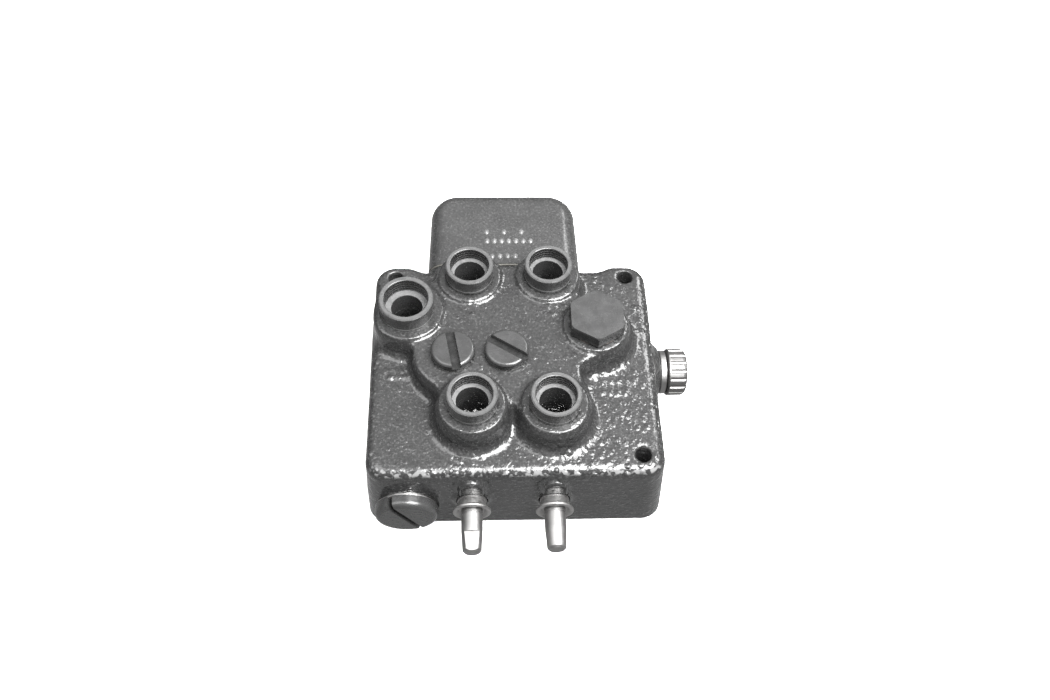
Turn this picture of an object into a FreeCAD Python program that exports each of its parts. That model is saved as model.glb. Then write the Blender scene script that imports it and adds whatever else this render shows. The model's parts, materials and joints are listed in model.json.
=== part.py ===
import FreeCAD, Part
import math
import os

# Solenoid directional valve: a cast iron valve block with two spool valves side by side, each pulled
# by its own wet-armature solenoid under a rear cover and pushed by hand at a pin on the front.
# Millimetres. Origin: centre of the block's base face. +X right, +Y rear (solenoids), +Z up (ports).

V = FreeCAD.Vector
X_AXIS = V(1, 0, 0)
Y_AXIS = V(0, 1, 0)
Z_AXIS = V(0, 0, 1)

# ---------------------------------------------------------------- driving dimensions

BODY_X = 121.0                # width at the top; the side and front walls lean out to the base
FRONT_Y = -51.5
BASE_LEFT = -62.6
BASE_RIGHT = 64.0
BASE_FRONT = -53.6
REAR_Y = 51.5
PLATE_TOP = 42.0
PLATEAU_TOP = 52.5
LEDGE_TOP = 54.0              # spot faces round the ports
COLLAR_TOP = 62.0
CORNER_R = 8.5
TOP_EDGE_R = 3.0
LUG_REAR = 53.4               # rear of the two rounded rear corners

# Vertical ports: centre, thread wall radius, collar radius, hole below the shoulder, shoulder depth.
PORTS = {
    "inlet": (-45.0, 20.5, 9.2, 11.4, 6.7, 7.3),
    "rear_left": (-18.5, 37.9, 8.2, 10.2, 6.6, 6.5),
    "rear_right": (15.4, 38.3, 8.2, 10.2, 6.6, 6.5),
    "front_left": (-17.5, -25.5, 8.2, 10.2, 6.6, 6.5),
    "front_right": (15.8, -26.0, 8.2, 10.2, 6.6, 6.5),
}
COLLAR_SHANK_BOTTOM = 46.0
COLLAR_SHANK_INSET = 0.7      # the shank is this much smaller in radius than the collar

# Raised plateau: centre, radius at the plate, radius at the top, height of the top.
BOSSES = [
    (-45.0, 20.5, 17.8, 15.8, LEDGE_TOP),
    (-18.5, 37.9, 15.8, 14.0, LEDGE_TOP),
    (15.4, 38.3, 15.8, 14.0, LEDGE_TOP),
    (-17.5, -25.5, 16.8, 14.2, LEDGE_TOP),
    (15.8, -26.0, 16.8, 14.2, LEDGE_TOP),
    (34.8, 12.4, 17.6, 14.4, LEDGE_TOP),
    (-25.4, -0.9, 18.0, 16.3, PLATEAU_TOP),
]
WEB_POINTS = [(-45.0, 8.0), (-28.0, -25.5), (-17.5, -32.0), (-3.0, -25.0), (15.8, -33.0),
              (29.0, -26.0), (29.0, -8.0), (40.0, 2.0), (34.8, 24.0), (15.4, 46.0),
              (-18.5, 46.0), (-45.0, 32.0)]

# Mounting holes for M6 screws (the front left corner holds the strainer instead).
MOUNT_HOLE_R = 3.3
MOUNT_X = 51.5
MOUNT_REAR_Y = 46.0
MOUNT_FRONT_Y = -43.0

# Spools, along Y.
SPOOL_X = {"left": -18.0, "right": 16.0}
SPOOL_Z = 22.0
SPOOL_R = 5.0
SPOOL_BORE_R = 5.02
SPOOL_FRONT = -44.0
SPOOL_REAR = 47.2
SPOOL_STOP = -44.3
SHOULDER_FRONT = -45.5
BORE_REAR = 47.5
GROOVE_R = 7.0
SERVICE_GROOVE = (-29.0, -22.0)
RETURN_GROOVE = (35.0, 41.0)
TAIL_R = 2.5
PIN_R = 4.4
PIN_TIP_R = 3.9
PIN_BORE_R = 4.5
PIN_TAPER_FROM = -67.0        # the pin narrows from here to its tip
PIN_TIP = {"left": -76.0, "right": -75.4}
PIN_GROOVE = (-60.5, -59.7)   # narrow groove that marks off the pin's free end
PAD_FRONT = -53.9             # front of the arched pads round the pins
PAD_HALF_WIDTH = 5.2
PAD_ARCH_Z = 27.4
GUIDE_R = 6.0
GUIDE_SPIGOT_REAR = -48.5
GUIDE_BELL_R = 7.8
GUIDE_FRONT = -59.0

# Solenoids, on the spool axes behind the block.
TUBE_R = 7.0
TUBE_BORE_R = 6.05
TUBE_REAR = 82.0
ARMATURE_R = 6.0
ARMATURE = (53.0, 69.0)
POLE_FRONT = 73.3
POLE_REAR = 84.0
COIL_R = 11.2
BOBBIN_BORE_R = 7.1
BOBBIN = (54.7, 81.9)
FRAME = (52.8, 83.8)
FRAME_SHEET = 1.8
FRAME_HALF_WIDTH = 11.0
FRAME_Z = (10.5, 35.1)
SPRING_SEATS = (64.0, 78.0)

# Rear cover.
COVER_X = (-37.5, 31.5)
COVER_Y = (52.3, 96.0)
COVER_Z = (1.0, 44.0)
COVER_WALL = 2.5
COVER_TOP_R = 8.0
COVER_CORNER_R = 13.0
COVER_DRAFT_DEG = 1.4
COVER_SCREWS = (33.0, 7.0)    # heights of the two screws
COVER_MID_X = -1.0
SCREW_R = 2.0
PILLAR_R = 5.0
GLAND_Z = 20.0

# Non-return valves under the slotted plugs: centre, head radius, slot direction in degrees.
CHECKS = {"left": (-25.4, -0.9, 9.2, -80.0), "right": (-3.2, -0.7, 9.2, -33.0)}
CHECK_SEAT_Z = 31.0
CHECK_CHAMBER_R = 5.5
CHECK_SHANK_R = 7.0
CHECK_BALL_R = 3.5
CHECK_BALL_Z = 33.6
CHECK_HEAD_TOP = 56.8

# Relief valve under the hexagon plug.
RELIEF_X = 34.8
RELIEF_Y = 12.4
RELIEF_SEAT_Z = 26.0
RELIEF_CHAMBER_R = 6.5
RELIEF_SHANK_R = 8.0
HEX_ACROSS_FLATS = 22.0
HEX_BOTTOM = 55.0
HEX_TOP = 61.0

# Inlet strainer gallery, along Y behind the big slotted plug.
STRAINER_X = -45.3
STRAINER_Z = 15.0
STRAINER_THREAD_R = 9.8
STRAINER_BORE_R = 8.6
STRAINER_HEAD_R = 13.0
STRAINER_HEAD_FRONT = -58.2
STRAINER_FACE = -52.2         # spot face under the plug's seal
STRAINER_FACE_R = 13.4
STRAINER_THREAD_REAR = -38.0
STRAINER_BORE_REAR = 27.0

# Supply gallery, low across the block.
GALLERY_Y = -0.8
GALLERY_Z = 10.0
GALLERY_R = 3.5

# Bypass valve on the right side, along X.
BYPASS_Y = 9.0
BYPASS_Z = 19.7
BYPASS_SEAT_X = 42.0
BYPASS_CHAMBER_R = 5.0
BYPASS_CHAMBER_END = 50.0
BYPASS_SHANK_R = 7.0
BYPASS_BALL_R = 3.0
BYPASS_BALL_X = 44.0
BYPASS_STEM_R = 4.0
BYPASS_STEM_BORE_R = 4.05
NECK_START_X = 58.0
NECK_END_X = 65.6
BONNET_END_X = 68.6
KNOB_START_X = 69.0
KNOB_END_X = 77.6
KNOB_R = 10.5


# ---------------------------------------------------------------- helpers


def rod_x(radius, start, end, y, z):
    """Cylinder along X from start to end."""
    return Part.makeCylinder(radius, end - start, V(start, y, z), X_AXIS)


def rod_y(radius, start, end, x, z):
    """Cylinder along Y from start to end."""
    return Part.makeCylinder(radius, end - start, V(x, start, z), Y_AXIS)


def rod_z(radius, start, end, x, y):
    """Cylinder along Z from start to end."""
    return Part.makeCylinder(radius, end - start, V(x, y, start), Z_AXIS)


def rod_between(radius, start, end):
    """Cylinder whose axis runs from one point to another."""
    return Part.makeCylinder(radius, (end - start).Length, start, end - start)


def box(x_range, y_range, z_range):
    """Box between the given limits."""
    size = [high - low for low, high in (x_range, y_range, z_range)]
    return Part.makeBox(size[0], size[1], size[2], V(x_range[0], y_range[0], z_range[0]))


def revolved(profile, origin, axis):
    """Solid turned about an axis. profile lists (distance along the axis, radius), as a closed loop."""
    across = Z_AXIS if abs(axis.z) < 0.5 else X_AXIS
    points = [origin + axis * along + across * radius for along, radius in profile]
    face = Part.Face(Part.makePolygon(points + [points[0]]))
    return face.revolve(origin, axis, 360)


def fused(shapes):
    """One clean solid from several touching ones."""
    return shapes[0].fuse(shapes[1:]).removeSplitter()


def drilled(shape, tools):
    """The shape with every tool cut out of it."""
    return shape.cut(Part.makeCompound(tools))


def parallel_edges(shape, axis, test):
    """Straight edges along an axis whose middle passes the test."""
    found = []
    for edge in shape.Edges:
        if edge.Curve.TypeId == "Part::GeomLine" and test(edge.CenterOfMass):
            if edge.tangentAt(edge.FirstParameter).cross(axis).Length < 1e-6:
                found.append(edge)
    return found


def hexagon_prism(across_flats, low, high, first_corner_deg, place):
    """Hexagon prism along +Z, then moved by place."""
    corner_r = across_flats / math.sqrt(3)
    points = []
    for i in range(7):
        angle = math.radians(first_corner_deg + 60 * i)
        points.append(V(corner_r * math.cos(angle), corner_r * math.sin(angle), low))
    prism = Part.Face(Part.makePolygon(points)).extrude(V(0, 0, high - low))
    prism.Placement = place
    return prism


def coil_spring(mean_r, wire_r, low, high, turns):
    """Closed helical wire along +Z, from low to high over its outside ends."""
    height = high - low - 2 * wire_r
    helix = Part.makeHelix(height / turns, height, mean_r)
    section = Part.Wire(Part.makeCircle(wire_r, V(mean_r, 0, 0), Y_AXIS))
    spring = Part.Wire(helix.Edges).makePipeShell([section], True, True)
    spring.translate(V(0, 0, low + wire_r))
    return spring


def turned_to_y(shape, x, z):
    """A shape made along +Z, laid along +Y through (x, z)."""
    laid = shape.copy()
    laid.Placement = FreeCAD.Placement(V(x, 0, z), FreeCAD.Rotation(X_AXIS, -90)).multiply(laid.Placement)
    return laid


def save(name, shape):
    """Write one node, after making sure that it is sound."""
    assert shape.isValid(), name
    assert shape.Volume > 0, name
    shape.exportStep("parts/" + name + ".step")


# ---------------------------------------------------------------- cast block


def plate():
    """The block's lower part: leaning walls, an upright rear face, rounded corners and top edge."""
    half = BODY_X / 2
    block = Part.makeWedge(BASE_LEFT, 0, -REAR_Y, -REAR_Y, -half,
                           BASE_RIGHT, PLATE_TOP, -BASE_FRONT, -FRONT_Y, half)
    block.rotate(V(0, 0, 0), X_AXIS, 90)
    corners = [edge for edge in block.Edges if 1 < edge.CenterOfMass.z < PLATE_TOP - 1]
    block = block.makeFillet(CORNER_R, corners)
    rim = [edge for edge in block.Edges if abs(edge.CenterOfMass.z - PLATE_TOP) < 0.01]
    return block.makeFillet(TOP_EDGE_R, rim)


def corner_lug(side):
    """Rounded rear corner that stands behind the rear face; side is -1 for left and 1 for right."""
    lug = rod_z(CORNER_R, 0, PLATE_TOP, side * (BODY_X / 2 - CORNER_R), LUG_REAR - CORNER_R)
    return lug.makeFillet(TOP_EDGE_R, [edge for edge in lug.Edges if edge.CenterOfMass.z > PLATE_TOP - 0.01])


def plateau():
    """Raised island that carries the ports, trimmed to the block's outline."""
    cones = []
    for x, y, foot_r, top_r, top in BOSSES:
        cones.append(Part.makeCone(foot_r, top_r, top - PLATE_TOP + 4, V(x, y, PLATE_TOP - 4)))
    corners = [V(x, y, PLATE_TOP - 4) for x, y in WEB_POINTS]
    web = Part.Face(Part.makePolygon(corners + [corners[0]])).extrude(V(0, 0, PLATEAU_TOP - PLATE_TOP + 4))
    island = fused(cones + [web])
    limit = box((-BODY_X / 2 + 0.6, BODY_X / 2 - 0.6), (FRONT_Y, REAR_Y), (0, COLLAR_TOP))
    return island.common(limit)


def cover_pad():
    """Machined pad on the rear face that the cover's gasket seats on."""
    pad = box((COVER_X[0], COVER_X[1]), (REAR_Y - 5, REAR_Y), (COVER_Z[0], COVER_Z[1]))
    return pad.makeFillet(COVER_TOP_R, parallel_edges(pad, Y_AXIS, lambda c: c.z > SPOOL_Z))


def pin_pad(x):
    """Arched pad on the front face round one pin."""
    arch = rod_y(PAD_HALF_WIDTH, PAD_FRONT, FRONT_Y + 6, x, PAD_ARCH_Z)
    foot_z = SPOOL_Z - GUIDE_R - 1.2
    block = box((x - PAD_HALF_WIDTH, x + PAD_HALF_WIDTH), (PAD_FRONT, FRONT_Y + 6), (foot_z, PAD_ARCH_Z))
    ring = rod_y(GUIDE_R + 1.2, PAD_FRONT, FRONT_Y + 6, x, SPOOL_Z)
    return [arch, block, ring]


def port_drillings():
    """Collar seats and the holes from each port down to its spool or gallery."""
    tools = []
    for name, port in PORTS.items():
        x, y = port[:2]
        collar_r, hole_r = port[3:5]
        bottom = STRAINER_Z if name == "inlet" else SPOOL_Z
        tools.append(rod_z(collar_r - COLLAR_SHANK_INSET, COLLAR_SHANK_BOTTOM, COLLAR_TOP + 1, x, y))
        tools.append(rod_z(hole_r, bottom, COLLAR_TOP, x, y))
    return tools


def spool_drillings(x):
    """Bore, oil grooves, pin hole and tube socket of one spool."""
    return [
        rod_y(SPOOL_BORE_R, SPOOL_STOP, BORE_REAR, x, SPOOL_Z),
        rod_y(GROOVE_R, SERVICE_GROOVE[0], SERVICE_GROOVE[1], x, SPOOL_Z),
        rod_y(GROOVE_R, RETURN_GROOVE[0], RETURN_GROOVE[1], x, SPOOL_Z),
        rod_y(PIN_BORE_R, SHOULDER_FRONT - 1, SPOOL_STOP + 1, x, SPOOL_Z),
        rod_y(GUIDE_R, PAD_FRONT - 1, SHOULDER_FRONT, x, SPOOL_Z),
        rod_y(TUBE_R, BORE_REAR, REAR_Y + 1, x, SPOOL_Z),
    ]


def check_drillings():
    """Chambers, seats and passages of the two non-return valves."""
    tools = []
    passage_z = 36.5
    for side, check in CHECKS.items():
        x, y = check[:2]
        port_x, port_y = PORTS["front_" + side][:2]
        tools.append(rod_z(CHECK_SHANK_R, PLATE_TOP, PLATEAU_TOP + 6, x, y))
        tools.append(rod_z(CHECK_CHAMBER_R, CHECK_SEAT_Z, PLATE_TOP, x, y))
        tools.append(rod_z(2.5, CHECK_SEAT_Z - 3, CHECK_SEAT_Z, x, y))
        tools.append(rod_between(2.0, V(x, y, passage_z), V(port_x, port_y, passage_z)))
    left_x, left_y = CHECKS["left"][:2]
    right_x, right_y = CHECKS["right"][:2]
    tools.append(rod_between(2.0, V(left_x - 4.6, left_y, GALLERY_Z), V(left_x, left_y, CHECK_SEAT_Z - 2)))
    tools.append(rod_z(2.5, GALLERY_Z, CHECK_SEAT_Z, right_x, right_y))
    return tools


def relief_drillings():
    """Chamber, seat and passages of the relief valve."""
    back_x, back_y = PORTS["rear_right"][:2]
    outlet_z = 33.0
    return [
        rod_z(RELIEF_SHANK_R, 40.0, HEX_TOP, RELIEF_X, RELIEF_Y),
        rod_z(RELIEF_CHAMBER_R, RELIEF_SEAT_Z, 40.0, RELIEF_X, RELIEF_Y),
        rod_z(3.0, GALLERY_Z, RELIEF_SEAT_Z, RELIEF_X, RELIEF_Y),
        rod_y(GALLERY_R, GALLERY_Y, RELIEF_Y, RELIEF_X, GALLERY_Z),
        rod_between(2.5, V(RELIEF_X, RELIEF_Y, outlet_z), V(back_x, back_y, outlet_z)),
    ]


def strainer_drillings():
    """Strainer gallery and the supply gallery that leaves it."""
    return [
        rod_y(STRAINER_FACE_R, BASE_FRONT - 1, STRAINER_FACE, STRAINER_X, STRAINER_Z),
        rod_y(STRAINER_THREAD_R, STRAINER_FACE - 1, STRAINER_THREAD_REAR, STRAINER_X, STRAINER_Z),
        rod_y(STRAINER_BORE_R, STRAINER_THREAD_REAR, STRAINER_BORE_REAR, STRAINER_X, STRAINER_Z),
        rod_x(GALLERY_R, STRAINER_X, RELIEF_X, GALLERY_Y, GALLERY_Z),
    ]


def bypass_drillings():
    """Seat, chamber, bonnet socket and drain of the bypass valve."""
    drain_x = BYPASS_CHAMBER_END - 4
    drain_z = 34.0
    return [
        rod_x(BYPASS_SHANK_R, BYPASS_CHAMBER_END, NECK_END_X + 1, BYPASS_Y, BYPASS_Z),
        rod_x(BYPASS_CHAMBER_R, BYPASS_SEAT_X, BYPASS_CHAMBER_END, BYPASS_Y, BYPASS_Z),
        rod_x(2.3, RELIEF_X, BYPASS_SEAT_X, BYPASS_Y, BYPASS_Z),
        rod_z(2.0, BYPASS_Z, drain_z, drain_x, BYPASS_Y),
        rod_x(2.0, RELIEF_X, drain_x, BYPASS_Y, drain_z),
    ]


def mounting_holes():
    """Through holes for the M6 mounting screws."""
    places = [(-MOUNT_X, MOUNT_REAR_Y), (MOUNT_X, MOUNT_REAR_Y), (MOUNT_X, MOUNT_FRONT_Y)]
    return [rod_z(MOUNT_HOLE_R, -1, COLLAR_TOP, x, y) for x, y in places]


def casting():
    """The whole cast block with all its drillings."""
    neck = Part.makeCone(17.0, 10.4, NECK_END_X - NECK_START_X, V(NECK_START_X, BYPASS_Y, BYPASS_Z), X_AXIS)
    solids = [plate(), corner_lug(-1), corner_lug(1), plateau(), cover_pad(), neck]
    for x in SPOOL_X.values():
        solids += pin_pad(x)
    tools = port_drillings() + check_drillings() + relief_drillings() + strainer_drillings()
    tools += bypass_drillings() + mounting_holes()
    for x in SPOOL_X.values():
        tools += spool_drillings(x)
    tools += [rod_y(SCREW_R, REAR_Y - 10, REAR_Y + 1, COVER_MID_X, z) for z in COVER_SCREWS]
    return drilled(fused(solids), tools)


def parted(block):
    """The casting below the plate's top, and the port island above it. They meet face to face."""
    below = box((-100, 100), (-100, 100), (-1, PLATE_TOP))
    return block.common(below), block.cut(below)


# ---------------------------------------------------------------- ports and plugs


def port_collar(name):
    """Screwed-in port adapter: tapped mouth, shoulder and smaller hole below."""
    x, y, thread_r, collar_r, hole_r, depth = PORTS[name]
    shank_r = collar_r - COLLAR_SHANK_INSET
    shoulder = COLLAR_TOP - depth
    profile = [
        (COLLAR_SHANK_BOTTOM, hole_r), (COLLAR_SHANK_BOTTOM, shank_r), (LEDGE_TOP, shank_r),
        (LEDGE_TOP, collar_r), (COLLAR_TOP - 0.5, collar_r), (COLLAR_TOP, collar_r - 0.5),
        (COLLAR_TOP, thread_r + 0.4), (COLLAR_TOP - 0.4, thread_r), (shoulder, thread_r), (shoulder, hole_r),
    ]
    return revolved(profile, V(x, y, 0), Z_AXIS)


def slot_cutter(length, width, depth, angle_deg):
    """Screwdriver slot across the origin, its floor depth below z = 0."""
    cutter = box((-length / 2, length / 2), (-width / 2, width / 2), (-depth, depth + 5))
    cutter.rotate(V(0, 0, 0), Z_AXIS, angle_deg)
    return cutter


def check_plug(side):
    """Slotted plug over one non-return valve, with a spring pocket in its shank."""
    x, y, head_r, slot_deg = CHECKS[side]
    head = rod_z(head_r, PLATEAU_TOP + 0.8, CHECK_HEAD_TOP, 0, 0)
    top_rim = [edge for edge in head.Edges if edge.CenterOfMass.z > CHECK_HEAD_TOP - 0.01]
    head = head.makeFillet(1.6, top_rim)
    shank = rod_z(CHECK_SHANK_R, PLATE_TOP, PLATEAU_TOP + 0.8, 0, 0)
    plug = drilled(fused([head, shank]), [rod_z(4.0, PLATE_TOP - 1, 47.0, 0, 0)])
    slot = slot_cutter(3 * head_r, 3.8, 2.2, slot_deg)
    slot.translate(V(0, 0, CHECK_HEAD_TOP))
    plug = plug.cut(slot)
    plug.translate(V(x, y, 0))
    return plug


def ring_z(inner_r, outer_r, low, high, x, y):
    """Plain washer lying flat."""
    return rod_z(outer_r, low, high, x, y).cut(rod_z(inner_r, low - 1, high + 1, x, y))


def ring_y(inner_r, outer_r, low, high, x, z):
    """Plain washer standing across Y."""
    return rod_y(outer_r, low, high, x, z).cut(rod_y(inner_r, low - 1, high + 1, x, z))


def ring_x(inner_r, outer_r, low, high, y, z):
    """Plain washer standing across X."""
    return rod_x(outer_r, low, high, y, z).cut(rod_x(inner_r, low - 1, high + 1, y, z))


def relief_plug():
    """Hexagon plug over the relief valve, with a spring pocket."""
    place = FreeCAD.Placement(V(RELIEF_X, RELIEF_Y, 0), FreeCAD.Rotation())
    head = hexagon_prism(HEX_ACROSS_FLATS, HEX_BOTTOM, HEX_TOP, 30, place)
    corner_r = HEX_ACROSS_FLATS / math.sqrt(3)
    chamfer = Part.makeCone(corner_r + 6.0, corner_r - 0.6, HEX_TOP - HEX_BOTTOM + 6,
                            V(RELIEF_X, RELIEF_Y, HEX_BOTTOM - 6))
    head = head.common(chamfer)
    shank = rod_z(RELIEF_SHANK_R, 40.0, HEX_BOTTOM, RELIEF_X, RELIEF_Y)
    return drilled(fused([head, shank]), [rod_z(4.6, 39.0, 50.0, RELIEF_X, RELIEF_Y)])


def relief_poppet():
    """Guided poppet with a conical nose in the relief seat."""
    profile = [(25.0, 0), (25.0, 2.0), (30.0, 6.0), (36.0, 6.0), (36.0, 0)]
    return revolved(profile, V(RELIEF_X, RELIEF_Y, 0), Z_AXIS)


def strainer_plug():
    """Large slotted plug that closes the strainer gallery."""
    length = STRAINER_FACE - STRAINER_HEAD_FRONT
    head = rod_z(STRAINER_HEAD_R, 0, length - 0.8, 0, 0)
    outer_rim = [edge for edge in head.Edges if edge.CenterOfMass.z < 0.01]
    head = head.makeFillet(2.4, outer_rim)
    shank = rod_z(STRAINER_THREAD_R, length - 0.8, STRAINER_THREAD_REAR - STRAINER_HEAD_FRONT, 0, 0)
    plug = fused([head, shank])
    slot = slot_cutter(3 * STRAINER_HEAD_R, 2.4, 2.8, 0)
    plug = plug.cut(slot)
    plug.rotate(V(0, 0, 0), Z_AXIS, 62)
    plug.translate(V(0, 0, STRAINER_HEAD_FRONT))
    return turned_to_y(plug, STRAINER_X, STRAINER_Z)


def strainer_basket():
    """Perforated strainer tube behind its plug, open at the rear."""
    front = STRAINER_THREAD_REAR
    rear = 9.0
    tube = ring_y(6.3, 7.2, front, rear, STRAINER_X, STRAINER_Z)
    cap = rod_y(7.2, front, front + 1.0, STRAINER_X, STRAINER_Z)
    end_ring = ring_y(6.3, 8.5, rear, rear + 1.6, STRAINER_X, STRAINER_Z)
    basket = fused([tube, cap, end_ring])
    slots = []
    for row in range(5):
        middle = front + 6.5 + 8.5 * row
        for turn in range(4):
            slit = box((-9, 9), (middle - 3.0, middle + 3.0), (-0.8, 0.8))
            slit.rotate(V(0, 0, 0), Y_AXIS, 45 * turn)
            slit.translate(V(STRAINER_X, 0, STRAINER_Z))
            slots.append(slit)
    return drilled(basket, slots)


# ---------------------------------------------------------------- spools


def spool(side):
    """Spool with oil neck, balancing grooves, hollow centre and a tail for the armature."""
    x = SPOOL_X[side]
    body = fused([rod_y(SPOOL_R, SPOOL_FRONT, SPOOL_REAR, x, SPOOL_Z),
                  rod_y(TAIL_R, SPOOL_REAR - 1, 63.0, x, SPOOL_Z)])
    tools = [
        ring_y(3.3, SPOOL_R + 1, -30.0, -20.0, x, SPOOL_Z),
        ring_y(4.4, SPOOL_R + 1, 31.0, 34.0, x, SPOOL_Z),
        rod_y(1.6, -38.0, 34.0, x, SPOOL_Z),
        rod_y(TAIL_R, SPOOL_FRONT - 1, -36.0, x, SPOOL_Z),
    ]
    for middle in (-37.0, -8.0, 2.0, 12.0, 22.0, 44.0):
        tools.append(ring_y(4.6, SPOOL_R + 1, middle - 0.4, middle + 0.4, x, SPOOL_Z))
    for middle in (-25.0, 32.5):
        tools.append(rod_x(1.3, x - 8, x + 8, middle, SPOOL_Z))
        tools.append(rod_z(1.3, SPOOL_Z - 8, SPOOL_Z + 8, x, middle))
    return drilled(body, tools)


def override_pin(side):
    """Push pin at the front of a spool: tongue tip on the left one, round tip on the right one."""
    x = SPOOL_X[side]
    tip = PIN_TIP[side]
    chamfer = 0.8
    profile = [(tip, 0), (tip, PIN_TIP_R - chamfer), (tip + chamfer, PIN_TIP_R), (PIN_TAPER_FROM, PIN_R),
               (SPOOL_FRONT, PIN_R), (SPOOL_FRONT, TAIL_R), (-38.0, TAIL_R), (-38.0, 0)]
    pin = revolved(profile, V(x, 0, SPOOL_Z), Y_AXIS)
    pin = pin.cut(ring_y(PIN_R - 0.3, PIN_R + 1, PIN_GROOVE[0], PIN_GROOVE[1], x, SPOOL_Z))
    if side == "left":
        flats = [box((x - 6, x + 6), (tip - 1, tip + 8.0), (SPOOL_Z + 3.1, SPOOL_Z + 6)),
                 box((x - 6, x + 6), (tip - 1, tip + 8.0), (SPOOL_Z - 6, SPOOL_Z - 3.1))]
        pin = drilled(pin, flats)
    return pin


def pin_guide(side):
    """Steel guide bush with a flared front collar round one pin."""
    x = SPOOL_X[side]
    bore_r = PIN_R + 0.03
    profile = [(GUIDE_SPIGOT_REAR, bore_r), (GUIDE_SPIGOT_REAR, GUIDE_R), (PAD_FRONT, GUIDE_R),
               (PAD_FRONT, 5.5), (GUIDE_FRONT + 2.2, 6.2), (GUIDE_FRONT + 1.0, GUIDE_BELL_R),
               (GUIDE_FRONT + 0.3, GUIDE_BELL_R), (GUIDE_FRONT, GUIDE_BELL_R - 0.5),
               (GUIDE_FRONT, 6.6), (GUIDE_FRONT + 1.2, bore_r + 0.8), (GUIDE_FRONT + 1.2, bore_r)]
    return revolved(profile, V(x, 0, SPOOL_Z), Y_AXIS)


def wiper_seal(side):
    """Rubber wiper ring between the guide bush and the shoulder."""
    return ring_y(PIN_R + 0.02, GUIDE_R, GUIDE_SPIGOT_REAR, SHOULDER_FRONT, SPOOL_X[side], SPOOL_Z)


# ---------------------------------------------------------------- solenoids


def armature(side):
    """Soft iron armature pressed on the spool's tail, with a spring pocket and an oil slot."""
    x = SPOOL_X[side]
    body = rod_y(ARMATURE_R, ARMATURE[0], ARMATURE[1], x, SPOOL_Z)
    tools = [rod_y(TAIL_R, ARMATURE[0] - 1, 63.0, x, SPOOL_Z),
             rod_y(4.2, SPRING_SEATS[0], ARMATURE[1] + 1, x, SPOOL_Z),
             box((x - 0.8, x + 0.8), (ARMATURE[0] - 1, ARMATURE[1] + 1), (SPOOL_Z - 7, SPOOL_Z - 5.0))]
    return drilled(body, tools)


def armature_tube(side):
    """Thin non-magnetic tube that seals the armature chamber."""
    return ring_y(TUBE_BORE_R, TUBE_R, BORE_REAR, TUBE_REAR, SPOOL_X[side], SPOOL_Z)


def pole_piece(side):
    """Fixed iron pole that closes the tube and carries the coil nut's stud."""
    x = SPOOL_X[side]
    body = fused([rod_y(TUBE_BORE_R, POLE_FRONT, TUBE_REAR, x, SPOOL_Z),
                  rod_y(TUBE_R, TUBE_REAR, POLE_REAR, x, SPOOL_Z),
                  rod_y(3.0, POLE_REAR - 1, 89.5, x, SPOOL_Z)])
    return drilled(body, [rod_y(4.2, POLE_FRONT - 1, SPRING_SEATS[1], x, SPOOL_Z)])


def return_spring(side):
    """Spring between the armature and the pole."""
    return turned_to_y(coil_spring(3.2, 0.45, SPRING_SEATS[0] + 0.05, SPRING_SEATS[1] - 0.05, 5),
                       SPOOL_X[side], SPOOL_Z)


def bobbin(side):
    """Plastic bobbin of one coil."""
    x = SPOOL_X[side]
    barrel = rod_y(8.2, BOBBIN[0], BOBBIN[1], x, SPOOL_Z)
    flanges = [rod_y(COIL_R, low, low + 1.3, x, SPOOL_Z) for low in (BOBBIN[0], BOBBIN[1] - 1.3)]
    return drilled(fused([barrel] + flanges), [rod_y(BOBBIN_BORE_R, 50, 90, x, SPOOL_Z)])


def winding(side):
    """Copper winding on the bobbin."""
    return ring_y(8.2, COIL_R - 0.4, BOBBIN[0] + 1.3, BOBBIN[1] - 1.3, SPOOL_X[side], SPOOL_Z)


def coil_frame(side):
    """Bent steel frame that returns the coil's flux, with the tube through both its cheeks."""
    x = SPOOL_X[side]
    width = (x - FRAME_HALF_WIDTH, x + FRAME_HALF_WIDTH)
    front = box(width, (FRAME[0], FRAME[0] + FRAME_SHEET), FRAME_Z)
    rear = box(width, (FRAME[1] - FRAME_SHEET, FRAME[1]), FRAME_Z)
    strip = box(width, FRAME, (FRAME_Z[1] - FRAME_SHEET, FRAME_Z[1]))
    return drilled(fused([front, rear, strip]), [rod_y(BOBBIN_BORE_R, 50, 90, x, SPOOL_Z)])


def coil_nut(side):
    """Hexagon nut that clamps the coil on its tube."""
    x = SPOOL_X[side]
    place = FreeCAD.Placement(V(x, 0, SPOOL_Z), FreeCAD.Rotation(X_AXIS, -90))
    nut = hexagon_prism(10.0, POLE_REAR, POLE_REAR + 4.0, 0, place)
    return nut.cut(rod_y(3.0, 80, 95, x, SPOOL_Z))


def terminal_block():
    """Insulating block on the left coil frame where the leads are joined."""
    low_x = SPOOL_X["left"] - 10.5
    block = box((low_x, low_x + 21), (60.0, 74.0), (FRAME_Z[1], 39.0))
    walls = []
    for i in range(5):
        wall_x = low_x + 5.0 * i
        walls.append(box((wall_x, wall_x + 1.0), (60.0, 74.0), (39.0, 40.6)))
    return fused([block] + walls)


def terminal_screws():
    """Four brass clamping screws on the terminal block."""
    screws = []
    for i in range(4):
        middle_x = SPOOL_X["left"] - 10.5 + 3.0 + 5.0 * i
        head = rod_z(1.7, 39.0, 40.4, middle_x, 67.0)
        slot = box((middle_x - 2, middle_x + 2), (66.7, 67.3), (39.9, 41.0))
        screws.append(head.cut(slot))
    return Part.makeCompound(screws)


# ---------------------------------------------------------------- rear cover


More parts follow.
